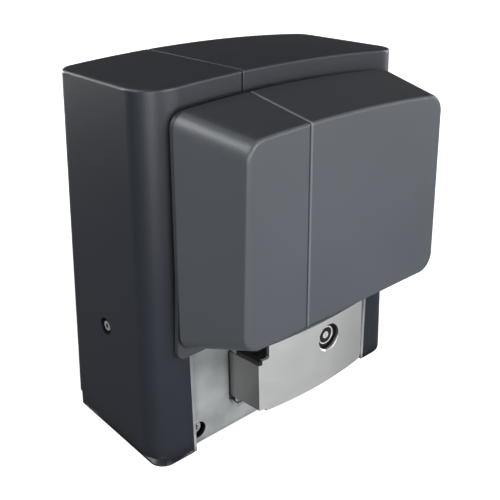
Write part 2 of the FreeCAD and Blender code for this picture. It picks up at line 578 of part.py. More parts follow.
# ---------------------------------------------------------------- gear unit
def gearcase():
    """The aluminium casting: front plate, side strips, foot, gear chamber, motor seat."""
    half = "(opening_half - 0.4)"
    plate_rear = "plate_front + plate_thick"
    plate = box("plate", ("front_mid - %s" % half, "plate_front", "plate_low"),
                ("front_mid + %s" % half, plate_rear, "plate_high"))
    strips = [box("strip", (x, "-case_depth / 2", "0"), ("(%s) + strip_thick" % x, plate_rear,
                                                          "strip_high"))
              for x in ("front_mid - %s" % half, "front_mid + %s - strip_thick" % half)]
    foot = box("foot", ("-foot_half", "plate_front + 9", "0"), ("foot_half", "62", "foot_thick"))
    joint = box("foot_joint", ("-foot_half + 2", "plate_front + 1", "plate_low"),
                ("foot_half - 4", "plate_front + 12", "foot_thick"))
    centre = ("0", "chamber_front", "shaft_height")
    chamber = rod("chamber", "chamber_radius + chamber_wall", centre,
                  "chamber_rear + chamber_wall - chamber_front", "y")
    pedestal = box("pedestal", ("-chamber_radius", "chamber_front", "foot_thick - 1"),
                   ("chamber_radius", "chamber_rear + chamber_wall", "shaft_height"))
    boss = rod("rear_boss", "34", ("0", "chamber_rear", "shaft_height"), "38", "y")
    rear_plate = box("rear_plate", ("0.6 - notch_half", "rear_plate_place", "plate_low"),
                     ("notch_half - 0.6", "rear_plate_place + 5", "notch_top - 2"))
    worm_x = "gear_module * wheel_teeth / 2 + worm_pitch_radius"
    tube = rod("worm_tube", "21", (worm_x, "gear_middle", "foot_thick - 1"), "118")
    seat = rod("motor_seat", "motor_radius + 2", (worm_x, "gear_middle", "motor_low - 10"), "10")
    webs = [box("web", (x, "-56", "foot_thick - 1"),
                ("(%s) + 6" % x, "chamber_front + 20",
                 "shaft_height - chamber_radius - chamber_wall - 1"))
            for x in ("-40", "34")]
    plate_ties = [box("plate_tie", (x, "plate_front + 2", "foot_thick - 1"),
                      ("(%s) + 6" % x, "-50", "plate_high - 30")) for x in ("-96", "86")]
    seat_ribs = [box("seat_rib", ("74", "5", "foot_thick - 1"), ("84", "11", "motor_low - 5")),
                 box("seat_rib", (worm_x + " - 3", "10", "foot_thick - 1"),
                     (worm_x + " + 3", "52", "motor_low - 5"))]
    ears = [box("ear", ("hinge_x - 3.6", "hinge_y - 3.4", z),
                ("hinge_x + 3.4", plate_rear, "(%s) + ear_thick" % z))
            for z in ("ear_low", "tab_high + 0.4")]
    ears.append(box("ear_link", ("lever_mid - lever_half - 3", "plate_front", "tab_high + 0.4"),
                    ("hinge_x", plate_rear, "tab_high + 0.4 + ear_thick")))
    screw_bosses = [rod("screw_boss", "plate_screw_recess + 1.6",
                        ("front_mid + %d * plate_screw_place" % side, "plate_front + 1",
                         "plate_screw_height"), "14", "y") for side in (-1, 1)]
    mass = fuse("casting_mass", plate, *strips, foot, joint, chamber, pedestal, boss, rear_plate,
                tube, seat, *webs, *plate_ties, *seat_ribs, *screw_bosses)
    shaft_line = ("0", "chamber_front - 1", "shaft_height")
    hollows = [
        rod("wheel_room", "chamber_radius", shaft_line, "chamber_rear - chamber_front + 1", "y"),
        rod("rear_bearing_seat", "bearing_outer", ("0", "chamber_rear - 1", "shaft_height"),
            "bearing_width + 1", "y"),
        rod("shaft_way", "17", ("0", "chamber_rear", "shaft_height"), "60", "y"),
        rod("seal_seat", "20", ("0", "56.5", "shaft_height"), "20", "y"),
        rod("worm_way", "14", (worm_x, "gear_middle", "47"), "100"),
        rod("low_bearing_seat", "17.5", (worm_x, "gear_middle", "36"), "11.5"),
        rod("high_bearing_seat", "20", (worm_x, "gear_middle", "motor_low - 13"), "14"),
        box("lever_opening", ("lever_mid - lever_half - 1.3", "plate_front - 1",
                              "ear_low + ear_thick + 0.4"),
            ("lever_mid + lever_half + 2.4", plate_rear + " + 1", "lever_high + 3")),
        box("cable_way", ("grommet_x - 16", "grommet_y - 17", "-1"),
            ("grommet_x + 16", "grommet_y + 17", "foot_thick + 1")),
        rod("gear_cover_room", "chamber_radius + chamber_wall + 0.3",
            ("0", "chamber_front - 8", "shaft_height"), "8", "y"),
        rod("spindle_way", "spindle_radius + running_gap",
            ("spindle_x", "rear_plate_place - 1", "spindle_height"), "7", "y"),
    ]
    for side in (-1, 1):
        x = "front_mid + %d * plate_screw_place" % side
        hollows.append(rod("screw_recess", "plate_screw_recess",
                           (x, "plate_front - 1", "plate_screw_height"),
                           "plate_screw_sink + 5.2", "y"))
        hollows.append(rod("screw_way", "4.2", (x, "plate_front", "plate_screw_height"), "16",
                           "y"))
        for end in (-1, 1):
            spot = ("%d * foot_spacing_x / 2" % side, "%d * foot_spacing_y / 2" % end, "-1")
            hollows.append(rod("foot_hole", "foot_hole_radius", spot, "foot_thick + 2"))
            head_room = (spot[0], spot[1], "foot_thick")
            hollows.append(rod("foot_room", "12", head_room, "30"))
    for turn in range(6):
        angle = math.radians(30 + 60 * turn)
        x = "(chamber_radius + 3) * %.4f" % math.cos(angle)
        z = "shaft_height + (chamber_radius + 3) * %.4f" % math.sin(angle)
        hollows.append(rod("cover_thread", "2", (x, "chamber_front - 1", z), "13", "y"))
    shaped = cut("casting_cut", mass, *hollows)
    whole = fuse("casting_whole", shaped, *ears)
    pin_way = rod("pin_way", "hinge_radius + 0.01", ("hinge_x", "hinge_y", "ear_low - 1"), "64")
    return node("gearcase", cut("gearcase", whole, pin_way))


def gear_cover():
    disc = rod("cover_disc", "chamber_radius + chamber_wall",
               ("0", "chamber_front - 6", "shaft_height"), "6", "y")
    boss = rod("cover_boss", "31", ("0", "chamber_front - 20", "shaft_height"), "20", "y")
    ribs = [doc.addObject("Part::Box", "cover_rib") for _ in range(3)]
    for turn, rib in enumerate(ribs):
        bind(rib, Length="2 * chamber_radius", Width="10", Height="4")
        angle = math.radians(60 * turn)
        rib.Placement = FreeCAD.Placement(Vector(), Rotation(Vector(0, -1, 0), 60 * turn))
        place(rib, ("-chamber_radius * %.4f + 2 * %.4f" % (math.cos(angle), math.sin(angle)),
                    "chamber_front - 15",
                    "shaft_height - chamber_radius * %.4f - 2 * %.4f"
                    % (math.sin(angle), math.cos(angle))))
    seat = rod("front_bearing_seat", "bearing_outer", ("0", "chamber_front - 15",
                                                       "shaft_height"), "16", "y")
    way = rod("front_way", "16", ("0", "chamber_front - 17", "shaft_height"), "10", "y")
    holes = []
    screws = []
    for turn in range(6):
        angle = math.radians(30 + 60 * turn)
        x = "(chamber_radius + 3) * %.4f" % math.cos(angle)
        z = "shaft_height + (chamber_radius + 3) * %.4f" % math.sin(angle)
        holes.append(rod("cover_hole", "2.2", (x, "chamber_front - 7", z), "8", "y"))
        screws.append(screw("gear_cover_screw", (x, "chamber_front - 10", z), "y", 3.5, 4, 2, 14))
    node("gear_cover", cut("gear_cover", fuse("cover_blank", disc, boss, *ribs), seat, way,
                           *holes))
    node("gear_cover_screws", fuse("gear_cover_screws", *screws))


def involute(angle):
    return math.tan(angle) - angle


def gear_wire(module, teeth, y, turn, slack, dedendum=1.25):
    """One closed outline of involute teeth about +Y at a level y.

    A gap is centred on +X; turn moves it towards +Z. slack thins each tooth at its pitch line.
    """
    pressure = math.radians(20)
    pitch_radius = module * teeth / 2
    base_radius = pitch_radius * math.cos(pressure)
    tip_radius = pitch_radius + module
    root_radius = pitch_radius - dedendum * module
    half_tooth = math.pi / 2 / teeth - slack / 2 / pitch_radius + involute(pressure)

    def spot(radius, angle):
        return Vector(radius * math.cos(angle), y, radius * math.sin(angle))

    def flank(tooth, side):
        spots = [spot(root_radius, tooth + side * (half_tooth + 0.002))]
        start = max(base_radius, root_radius + 0.05 * module)
        for step in range(4):
            radius = start + (tip_radius - start) * step / 3
            roll = math.acos(min(1, base_radius / radius))
            spots.append(spot(radius, tooth + side * (half_tooth - involute(roll))))
        return spots

    edges = []
    for number in range(teeth):
        tooth = turn + (number + 0.5) * 2 * math.pi / teeth
        rising = flank(tooth, -1)
        falling = flank(tooth, 1)[::-1]
        following = flank(tooth + 2 * math.pi / teeth, -1)
        for spots in (rising, falling):
            curve = Part.BSplineCurve()
            curve.interpolate(spots)
            edges.append(curve.toShape())
            if spots is rising:
                edges.append(Part.makeLine(rising[-1], falling[0]))
        edges.append(Part.makeLine(falling[-1], following[0]))
    return Part.Wire(edges)


def worm_wheel():
    """The bronze wheel: its teeth lean with the worm's lead and their tips are chamfered."""
    module = value("gear_module")
    teeth = int(value("wheel_teeth"))
    half_width = value("wheel_width / 2")
    middle = value("gear_middle")
    lead = module / 2 / value("worm_pitch_radius")
    twist = lead * half_width / (module * teeth / 2)
    wires = [gear_wire(module, teeth, middle + side * half_width, -side * twist, 0.5)
             for side in (-1, 1)]
    blank = doc.addObject("Part::Feature", "wheel_teeth_ring")
    blank.Shape = Part.makeLoft(wires, True, True)
    place(blank, ("0", "0", "shaft_height"))
    bore = rod("wheel_bore", "shaft_radius + 2.5", ("0", "gear_middle - 20", "shaft_height"),
               "40", "y")
    front = ring("wheel_front_recess", "30", "20",
                 ("0", "gear_middle - wheel_width / 2 - 1", "shaft_height"), "6", "y")
    rear = ring("wheel_rear_recess", "30", "20",
                ("0", "gear_middle + wheel_width / 2 - 5", "shaft_height"), "6", "y")
    return node("worm_wheel", cut("worm_wheel", blank, bore, front, rear))


def output_shaft():
    """Stepped shaft: journals, the wheel's seat, the pinion's seat and a drilled end."""
    wheel_seat = rod("wheel_seat", "shaft_radius + 2.5", ("0", "chamber_front + 1",
                                                           "shaft_height"),
                     "chamber_rear - chamber_front - 2", "y")
    journal = rod("journal", "shaft_radius", ("0", "chamber_front - 15.5", "shaft_height"),
                  "pinion_start + pinion_width - 1 - chamber_front + 15.5", "y")
    end_hole = rod("end_hole", "4", ("0", "pinion_start + pinion_width - 24", "shaft_height"),
                   "40", "y")
    key_seat = box("key_seat", ("-4", "pinion_start + 2", "shaft_height + shaft_radius - 4"),
                   ("4", "pinion_start + pinion_width - 4", "shaft_height + 20"))
    node("output_shaft", cut("output_shaft", fuse("shaft_blank", wheel_seat, journal), end_hole,
                             key_seat))
    node("pinion_key", box("pinion_key", ("-4", "pinion_start + 2",
                                          "shaft_height + shaft_radius - 4"),
                           ("4", "pinion_start + pinion_width - 4",
                            "shaft_height + shaft_radius + 3")))


def pinion():
    """The rack pinion with its hub, keyway and end screw."""
    module = value("pinion_module")
    teeth = int(value("pinion_teeth"))
    start = value("pinion_start + 3")
    width = value("pinion_width - 3")
    teeth_ring = doc.addObject("Part::Feature", "pinion_teeth_ring")
    outline_wire = gear_wire(module, teeth, start, 0, 0.1)
    teeth_ring.Shape = Part.Face(outline_wire).extrude(Vector(0, width, 0))
    place(teeth_ring, ("0", "0", "shaft_height"))
    hub = rod("pinion_hub", "22", ("0", "pinion_start", "shaft_height"), "4", "y")
    bore = rod("pinion_bore", "shaft_radius", ("0", "pinion_start - 5", "shaft_height"), "50",
               "y")
    keyway = box("keyway", ("-4", "pinion_start - 1", "shaft_height + 5"),
                 ("4", "pinion_start + pinion_width + 1", "shaft_height + shaft_radius + 3.3"))
    dish = ring("pinion_dish", "28", "19", ("0", "pinion_start + pinion_width - 3",
                                            "shaft_height"), "4", "y")
    node("pinion", cut("pinion", fuse("pinion_blank", teeth_ring, hub), bore, keyway, dish))
    end = "pinion_start + pinion_width"
    washer = ring("pinion_washer", "16", "4.3", ("0", end, "shaft_height"), "3", "y")
    node("pinion_washer", washer)
    node("pinion_screw", screw("pinion_screw", ("0", "(%s) + 9" % end, "shaft_height"), "y",
                               6.5, 6, 4, 24, flip=True))


def ball_bearing(name, outer, inner, start, width, axis):
    """Two races joined by the band of the cage."""
    middle = "((%s) + (%s)) / 2" % (outer, inner)
    wall = "((%s) - (%s)) * 0.3" % (outer, inner)
    races = [ring(name + "_race", outer, "(%s) - %s" % (outer, wall), start, width, axis),
             ring(name + "_race", "(%s) + %s" % (inner, wall), inner, start, width, axis)]
    cage = ring(name + "_cage", "(%s) - (%s) * 0.9" % (outer, wall),
                "(%s) + (%s) * 0.9" % (inner, wall),
                tuple("(%s) + %s" % (text, "0.25 * (%s)" % width if letter == axis else "0")
                      for text, letter in zip(start, "xyz")), "(%s) * 0.5" % width, axis)
    return fuse(name, *races, cage)


def bearings():
    clear = "shaft_radius + running_gap"
    front = ball_bearing("bearing_front", "bearing_outer", clear,
                         ("0", "chamber_front - 15", "shaft_height"), "bearing_width", "y")
    rear = ball_bearing("bearing_rear", "bearing_outer", clear,
                        ("0", "chamber_rear", "shaft_height"), "bearing_width", "y")
    node("output_bearings", fuse("output_bearings", front, rear))
    worm_x = "gear_module * wheel_teeth / 2 + worm_pitch_radius"
    low = ball_bearing("bearing_low", "17.5", "7.5 + running_gap", (worm_x, "gear_middle", "36"),
                       "11", "z")
    high = ball_bearing("bearing_high", "20", "8.5 + running_gap",
                        (worm_x, "gear_middle", "motor_low - 13"), "12", "z")
    node("worm_bearings", fuse("worm_bearings", low, high))
    node("shaft_seal", ring("shaft_seal", "20", "shaft_radius + 0.08",
                            ("0", "56.5", "shaft_height"), "7.5", "y"))


def worm_shaft():
    """The motor's shaft with the worm cut in its lower end."""
    body = new_body("worm_shaft")
    worm_x = "gear_module * wheel_teeth / 2 + worm_pitch_radius"
    profile = new_sketch(body, "shaft_profile", "front", "0")
    top = "motor_high + 22"
    polygon(profile, [("0", "36.5"), ("7.5", "36.5"), ("7.5", "48"),
                      ("worm_root_radius", "50"), ("worm_root_radius", "114"),
                      ("8.5", "117"), ("8.5", "motor_low + 2"), ("9", "motor_low + 4"),
                      ("9", "motor_high - 1"), ("7.5", "motor_high - 0.5"), ("7.5", top), ("0", top)])
    feature(body, "Revolution", "shaft_turned", profile, ReferenceAxis=(profile, ["V_Axis"]),
            Angle=360)
    pitch = "gear_module * 3.14159265"
    base = "-(worm_root_radius - 0.4)"
    tip = "-(worm_pitch_radius + gear_module - 0.15)"
    low = "shaft_height - 2 * (%s)" % pitch
    thread = new_sketch(body, "thread_profile", "front", "0")
    polygon(thread, [(base, low + " - 2.75"), (tip, low + " - 0.85"), (tip, low + " + 0.85"),
                     (base, low + " + 2.75")][::-1])
    feature(body, "AdditiveHelix", "thread", thread, ReferenceAxis=(thread, ["V_Axis"]), Mode=0,
            Pitch=pitch, Height="4 * (%s)" % pitch)
    body.setExpression("Placement.Base.x", expr(worm_x))
    body.setExpression("Placement.Base.y", expr("gear_middle"))
    return node("worm_shaft", body)


def motor():
    worm_x = "gear_module * wheel_teeth / 2 + worm_pitch_radius"

    def at(z):
        return (worm_x, "gear_middle", z)
    shell = ring("shell_tube", "motor_radius", "motor_radius - 3", at("motor_low"),
                 "motor_high - motor_low")
    fins = []
    for turn in range(8):
        fin = doc.addObject("Part::Box", "shell_fin")
        bind(fin, Length="3.4", Width="2.4", Height="motor_high - motor_low - 24")
        fin.Placement = FreeCAD.Placement(Vector(), Rotation(Vector(0, 0, 1), 45 * turn + 22.5))
        angle = math.radians(45 * turn + 22.5)
        place(fin, (worm_x + " + (motor_radius - 1) * %.4f + 1.2 * %.4f"
                    % (math.cos(angle), math.sin(angle)),
                    "gear_middle + (motor_radius - 1) * %.4f - 1.2 * %.4f"
                    % (math.sin(angle), math.cos(angle)), "motor_low + 12"))
        fins.append(fin)
    node("motor_shell", fuse("motor_shell_finned", shell, *fins))
    stack = ring("stack_ring", "motor_radius - 3", "rotor_radius + 0.4", at("motor_low + 28"),
                 "46")
    slots = []
    for turn in range(12):
        slot = doc.addObject("Part::Box", "stack_slot")
        bind(slot, Length="9", Width="6", Height="60")
        slot.Placement = FreeCAD.Placement(Vector(), Rotation(Vector(0, 0, 1), 30 * turn))
        angle = math.radians(30 * turn)
        place(slot, (worm_x + " + (rotor_radius + 2.5) * %.4f + 3 * %.4f"
                     % (math.cos(angle), math.sin(angle)),
                     "gear_middle + (rotor_radius + 2.5) * %.4f - 3 * %.4f"
                     % (math.sin(angle), math.cos(angle)), "motor_low + 20"))
        slots.append(slot)
    node("stator_stack", cut("stator_stack", stack, *slots))
    bars = []
    for turn in range(12):
        bar = doc.addObject("Part::Box", "winding_bar")
        bind(bar, Length="8", Width="5", Height="48")
        bar.Placement = FreeCAD.Placement(Vector(), Rotation(Vector(0, 0, 1), 30 * turn))
        angle = math.radians(30 * turn)
        place(bar, (worm_x + " + (rotor_radius + 3) * %.4f + 2.5 * %.4f"
                    % (math.cos(angle), math.sin(angle)),
                    "gear_middle + (rotor_radius + 3) * %.4f - 2.5 * %.4f"
                    % (math.sin(angle), math.cos(angle)), "motor_low + 27"))
        bars.append(bar)
    ends = [ring("winding_end", "motor_radius - 5", "rotor_radius + 2", at(z), "12")
            for z in ("motor_low + 15.5", "motor_low + 74.5")]
    node("stator_windings", fuse("stator_windings", *ends, *bars))
    node("rotor_core", ring("rotor_core", "rotor_radius", "9", at("motor_low + 26"), "50"))
    lid = rod("lid_disc", "motor_radius + 2", at("motor_high"), "6")
    lid_boss = rod("lid_boss", "21", at("motor_high"), "16")
    lid_seat = rod("lid_seat", "17.5", at("motor_high - 1"), "12")
    lid_way = rod("lid_way", "9", at("motor_high - 1"), "18")
    lugs = [(worm_x + " + %d * 29.5" % dx, "gear_middle + %d * 29.5" % dy)
            for dx in (-1, 1) for dy in (-1, 1)]
    bolt_ways = [rod("bolt_way", "2", (x, y, "motor_high - 1"), "8") for x, y in lugs]
    node("motor_lid", cut("motor_lid", fuse("lid_blank", lid, lid_boss), lid_seat, lid_way,
                          *bolt_ways))
    node("lid_bearing", ball_bearing("lid_bearing", "17.5", "7.5 + running_gap",
                                     at("motor_high"), "11", "z"))
    node("magnet_disc", ring("magnet_disc", "13", "7.5", at("motor_high + 17"), "4"))
    bolts = [screw("tie_bolt", (x, y, "motor_high + 10"), "z", 3.6, 4, 1.8, 12, flip=True)
             for x, y in lugs]
    node("motor_bolts", fuse("motor_bolts", *bolts))


# ---------------------------------------------------------------- release lever
def drawn_in(radius, inset):
    """A corner's radius after an inset, and how far its centre moves once it is sharp."""
    sharp = 0.4
    if value("(%s) - (%s)" % (radius, inset)) >= sharp:
        return "%s - (%s)" % (radius, inset), "0"
    return str(sharp), "(%s) + %s - %s" % (inset, sharp, radius)


def lever_section(body, name, inset, level, rear):
    """The lever's plan at a level: side walls that lean in and a bowed front."""
    share = "((%s) - lever_low) / (lever_high - lever_low)" % level
    curve = "(lever_low_curve + (lever_high_curve - lever_low_curve) * (%s))" % share
    bulge = "(lever_low_bulge + (lever_high_bulge - lever_low_bulge) * (%s))" % share
    radius, shift = drawn_in("lever_round", inset)
    rear_x = "(lever_half - lever_round - (%s))" % shift
    sketch = new_sketch(body, name, "plan", level)
    outline(sketch, [("lever_mid + %s" % rear_x, rear, radius),
                     ("lever_mid - %s" % rear_x, rear, radius),
                     ("lever_mid - %s + lever_lean" % rear_x, None, radius),
                     ("lever_mid + %s - lever_right_lean" % rear_x, None, radius)],
            crown=("lever_mid", "%s - %s" % (curve, bulge), "%s - (%s)" % (curve, inset), -1))
    return sketch


def lever_solid(name, inset, low, high, rear):
    body = new_body(name)
    sections = [lever_section(body, name + "_section", inset, level, rear)
                for level in (low, high)]
    feature(body, "AdditiveLoft", name + "_loft", sections[0], Sections=[sections[1]])
    return body


def tab_cutters(name, low, high):
    """Two blocks that leave only the hinge tab at the lever's left end."""
    left = "lever_mid - lever_half - 8"
    right = "lever_mid - lever_half + tab_width"
    upper = box(name + "_upper", (left, "-case_depth / 2 - 60", high),
                (right, "plate_front + 8", "lever_high + 10"))
    lower = box(name + "_lower", (left, "-case_depth / 2 - 60", "lever_low - 10"),
                ("lever_mid - lever_half + tab_step", "plate_front + 8", low))

    def inner_corner(edge):
        bounds = edge.BoundBox
        along = bounds.YLength > 10
        return along and bounds.XMin > value(right) - 0.1 and bounds.ZMin < value("lever_high")
    return round_edges(name + "_rounded", upper, "2", inner_corner), lower


def tab_side(name, low, high, wrap):
    """The zone over the tab's side wall, where the black tray shows instead of the metal."""
    return box(name, ("lever_mid - lever_half - 8", "-case_depth / 2 - 60", low),
               ("lever_mid - lever_half + " + wrap, "plate_front + 8", high))


def foot_corner(name):
    """What the round lower corner at the lever's right end leaves out."""
    right = "lever_mid + lever_half - lever_right_lean / 2"
    middle = ("(%s) - lever_foot_round" % right, "-case_depth / 2 - 60",
              "lever_low + lever_foot_round")
    block = box(name + "_block", (middle[0], middle[1], "lever_low - 5"),
                ("(%s) + 5" % right, "plate_front + 8", middle[2]))
    return cut(name, block, rod(name + "_round", "lever_foot_round", middle, "80", "y"))


def release_lever():
    block = lever_solid("lever_outside", "0", "lever_low", "lever_high",
                        "lever_rear - lever_round")
    hollow = lever_solid("lever_hollow", "lever_skin", "lever_low - 1", "lever_high + 1",
                         "hinge_y + 12")
    shell = cut("lever_shell", block, hollow)
    knuckle = rod("lever_knuckle", "knuckle_radius", ("hinge_x", "hinge_y", "tab_low"),
                  "tab_high - tab_low")
    cutters = tab_cutters("lever_cutter", "tab_low", "tab_face_high")
    side_zone = tab_side("lever_side_zone", "tab_high", "tab_face_high + 0.2", "tab_wrap")
    lock_way = rod("lever_lock_way", "lock_recess", ("lock_x", "-case_depth / 2 - 60",
                                                     "lock_height"), "40", "y")
    lock_rim = doc.addObject("Part::Cone", "lever_lock_rim")
    bind(lock_rim, Radius1="lock_recess + 2", Radius2="lock_recess", Height="2")
    place(lock_rim, ("lock_x", "lock_floor - 7.4", "lock_height"), *AXIS_TURNS["y"])
    trimmed = cut("lever_trimmed", shell, lock_way, lock_rim, side_zone,
                  foot_corner("lever_foot"), *cutters)
    pin_way = rod("lever_pin_way", "hinge_radius + running_gap",
                  ("hinge_x", "hinge_y", "tab_low - 5"), "60")
    return node("release_lever", cut("release_lever", fuse("lever_whole", trimmed, knuckle),
                                     pin_way))


def lever_core():
    """The black inner tray of the lever, with the boss that carries the lock."""
    gap = "lever_skin + 0.1"
    block = lever_solid("core_outside", gap, "lever_low + 1", "lever_high - 1.5",
                        "hinge_y + 12")
    hollow = lever_solid("core_hollow", "lever_skin + 2.6", "lever_low + 4", "lever_high + 2",
                         "hinge_y + 12")
    boss_start = ("lock_x", "lock_floor - 3.4", "lock_height")
    shell = fuse("core_shell", cut("core_tray", block, hollow),
                 rod("lock_boss", "lock_recess + 3", boss_start, "20", "y"))
    limit = lever_solid("core_limit", gap, "lever_low + 1", "lever_high - 1.5", "hinge_y + 12")
    back = box("core_back", ("lever_mid - lever_half - 10", "hinge_y - 1", "lever_low - 10"),
               ("lever_mid + lever_half + 10", "hinge_y + 20", "lever_high + 10"))
    inside = cut("core_inside", common("core_limited", shell, limit), back)
    strip = common("tab_strip_limited",
                   lever_solid("tab_strip_outside", "0.05", "lever_low", "lever_high",
                               "hinge_y + 12"),
                   tab_side("strip_zone", "tab_high + 0.1", "tab_face_high + 0.1",
                            "tab_wrap - 0.1"))
    strip_hollow = lever_solid("tab_strip_hollow", "lever_skin + 2.6", "lever_low",
                               "lever_high", "hinge_y + 12")
    strip_back = box("strip_back", ("lever_mid - lever_half - 10", "hinge_y - 5.2", "tab_high"),
                     ("lever_mid", "hinge_y + 20", "lever_high"))
    inside = fuse("core_with_strip", inside, cut("tab_strip", strip, strip_hollow, strip_back))
    cutters = tab_cutters("core_cutter", "tab_low + 0.5", "tab_face_high + 0.1")
    recess = rod("core_recess", "lock_recess", ("lock_x", "lock_floor - 30", "lock_height"),
                 "30", "y")
    ring_seat = rod("ring_seat", "lock_radius + 1.3", ("lock_x", "lock_floor - 1",
                                                       "lock_height"), "5", "y")
    barrel_way = rod("barrel_way", "lock_radius + running_gap", ("lock_x", "lock_floor - 1",
                                                                  "lock_height"), "40", "y")
    room = rod("knuckle_room", "knuckle_radius + 1", ("hinge_x", "hinge_y", "tab_low - 5"),
               "60")
    return node("lever_core", cut("lever_core", inside, recess, ring_seat, barrel_way, room,
                                  *cutters))


def lock_parts():
    floor = ("lock_x", "lock_floor", "lock_height")
    rim = ring("rim", "lock_radius + 1.3", "lock_radius + running_gap",
               ("lock_x", "lock_floor - 1.6", "lock_height"), "5.6", "y")
    node("lock_ring", rim)
    barrel = rod("barrel", "lock_radius", ("lock_x", "lock_floor - 1.2", "lock_height"), "24",
                 "y")
    core_way = rod("core_way", "lock_core_radius + 0.05",
                   ("lock_x", "lock_floor - 3", "lock_height"), "20", "y")
    node("lock_barrel", cut("lock_barrel", barrel, core_way))
    core = rod("core", "lock_core_radius", ("lock_x", "lock_floor - 1.6", "lock_height"), "18",
               "y")
    slot = box("key_slot", ("lock_x - 0.5", "lock_floor - 2", "lock_height - 2.4"),
               ("lock_x + 0.5", "lock_floor + 8", "lock_height + 2.4"))
    node("lock_core", cut("lock_core", core, slot))
    cam_y = "lock_floor + 22.8"
    hub = rod("cam_hub", "lock_radius", ("lock_x", cam_y, "lock_height"), "2.4", "y")
    arm = box("cam_arm", ("lock_x", cam_y, "lock_height - 4"),
              ("lock_x + 17", cam_y + " + 2.4", "lock_height + 4"))
    node("lock_cam", fuse("lock_cam", hub, arm))
    strike_y = cam_y + " - 3.2"
    hook = box("strike_hook", ("lock_x - 8", strike_y, "lock_height - 24"),
               ("lock_x + 8", "(%s) + 2.4" % strike_y, "lock_height - 11"))
    arm = box("strike_arm", ("lock_x - 8", strike_y, "lock_height - 24"),
              ("lock_x + 8", "chamber_front - 20", "lock_height - 21.6"))
    flange = box("strike_flange", ("lock_x - 8", "chamber_front - 22.4", "lock_height - 24"),
                 ("lock_x + 8", "chamber_front - 20", "lock_height - 8"))
    node("lock_strike", fuse("lock_strike", hook, arm, flange))
    node("hinge_pin", rod("hinge_pin", "hinge_radius", ("hinge_x", "hinge_y", "ear_low - 0.6"),
                          "tab_high - ear_low + ear_thick + 1.4"))


# ---------------------------------------------------------------- fasteners and fittings
def fasteners():
    plate_screws = [screw("plate_screw", ("front_mid + %d * plate_screw_place" % side,
                                          "plate_front + plate_screw_sink",
                                          "plate_screw_height"), "y", 5.9, 4.2, 4, 12)
                    for side in (-1, 1)]
    node("plate_screws", fuse("plate_screws", *plate_screws))
    wall = "case_width / 2 - case_side_lean * side_screw_height"
    left = screw("left_case_screw", ("-(%s) + 1.3" % wall, "side_screw_place",
                                     "side_screw_height"), "x", 4.4, 3.2, 2, 15)
    right = screw("right_case_screw", ("(%s) - 1.3" % wall, "side_screw_place",
                                       "side_screw_height"), "x", 4.4, 3.2, 2, 15, flip=True)
    node("case_screws", fuse("case_screws", left, right))
    under = [screw("cover_screw", (x, "cover_rear - 12", "cover_rear_low - 0.9"), "z", 4.2, 3.1,
                   2, 16) for x in cover_screw_xs()]
    node("cover_screws", fuse("cover_screws", *under))
    heads = [screw("board_screw", (x, "board_place - 4.4", z), "y", 3, 2.8, 1.6, 8)
             for x in ("front_mid - 88", "front_mid + 88") for z in ("142", "276")]
    node("board_screws", fuse("board_screws", *heads))


def case_brackets():
    """Two steel angles on the foot; the housing's side screws drop into their open slots."""
    angles = []
    for side in (-1, 1):
        low, high = ("97", "131.2") if side > 0 else ("-131.2", "-97")
        leg = box("bracket_leg", (low, "side_screw_place - 8.5", "foot_thick"),
                  (high, "side_screw_place + 7", "foot_thick + 2.5"))
        upright_x = "128.7" if side > 0 else "-131.2"
        upright = box("bracket_upright", (upright_x, "side_screw_place - 8.5", "foot_thick"),
                      ("%s + 2.5" % upright_x, "side_screw_place + 8.5",
                       "side_screw_height + 6"))
        angles.append(fuse("bracket", leg, upright))
    slots = [box("bracket_slot", (x, "side_screw_place - 2.3", "side_screw_height - 2.3"),
                 ("%s + 10" % x, "side_screw_place + 2.3", "side_screw_height + 20"))
             for x in ("-135", "125")]
    node("case_brackets", cut("case_brackets", fuse("bracket_pair", *angles), *slots))


def limit_switch():
    x, z = "spindle_x", "spindle_height"
    body = box("switch_box", (x + " - 16", "rear_plate_place - 22", z + " - 14"),
               (x + " + 16", "rear_plate_place", z + " + 10"))
    bore = rod("switch_bore", "spindle_radius + running_gap", (x, "rear_plate_place - 10", z), "12", "y")
    node("limit_switch", cut("limit_switch", body, bore))
    spindle = rod("spindle", "spindle_radius", (x, "rear_plate_place - 9", z), "22", "y")
    hub = rod("lever_hub", "6", (x, "rear_plate_place + 6.5", z), "8", "y")
    wire = rod("lever_wire", "1.6", (x, "rear_plate_place + 10.5", z), "56")
    tip = rod("lever_tip", "3.2", (x, "rear_plate_place + 10.5", z + " + 48"), "9")
    node("limit_lever", fuse("limit_lever", spindle, hub, wire, tip))


def cable_grommet():
    pad = box("grommet_pad", ("grommet_x - 15.7", "grommet_y - 16.7", "1"),
              ("grommet_x + 15.7", "grommet_y + 16.7", "foot_thick"))
    rim = box("grommet_rim", ("grommet_x - 18", "grommet_y - 19", "foot_thick"),
              ("grommet_x + 18", "grommet_y + 19", "foot_thick + 3"))
    ways = [rod("cable_hole", "6", (x, "grommet_y", "-1"), "20")
            for x in ("grommet_x - 7.5", "grommet_x + 7.5")]
    node("cable_grommet", cut("cable_grommet", fuse("grommet_blank", pad, rim), *ways))


def build():
    fill_sheet()
    for make in (top_housing, base_trim, front_cover, control_tray, electronics, power_parts,
                 gearcase, gear_cover, worm_wheel, output_shaft, pinion, bearings, worm_shaft,
                 motor, release_lever, lever_core, lock_parts, fasteners, case_brackets,
                 limit_switch, cable_grommet):
        make()
    doc.recompute()
    for item in doc.Objects:
        if "Invalid" in item.State or "Error" in item.State:
            raise RuntimeError("%s (%s) failed: %s" % (item.Name, item.Label, item.State))
    os.makedirs("parts", exist_ok=True)
    for item in nodes:
        shape = item.Shape
        if shape.isNull() or not shape.isValid() or shape.Volume <= 0:
            raise RuntimeError("%s has no valid solid" % item.Label)
        shape.exportStep("parts/%s.step" % item.Label)


build()
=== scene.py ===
import json
import math

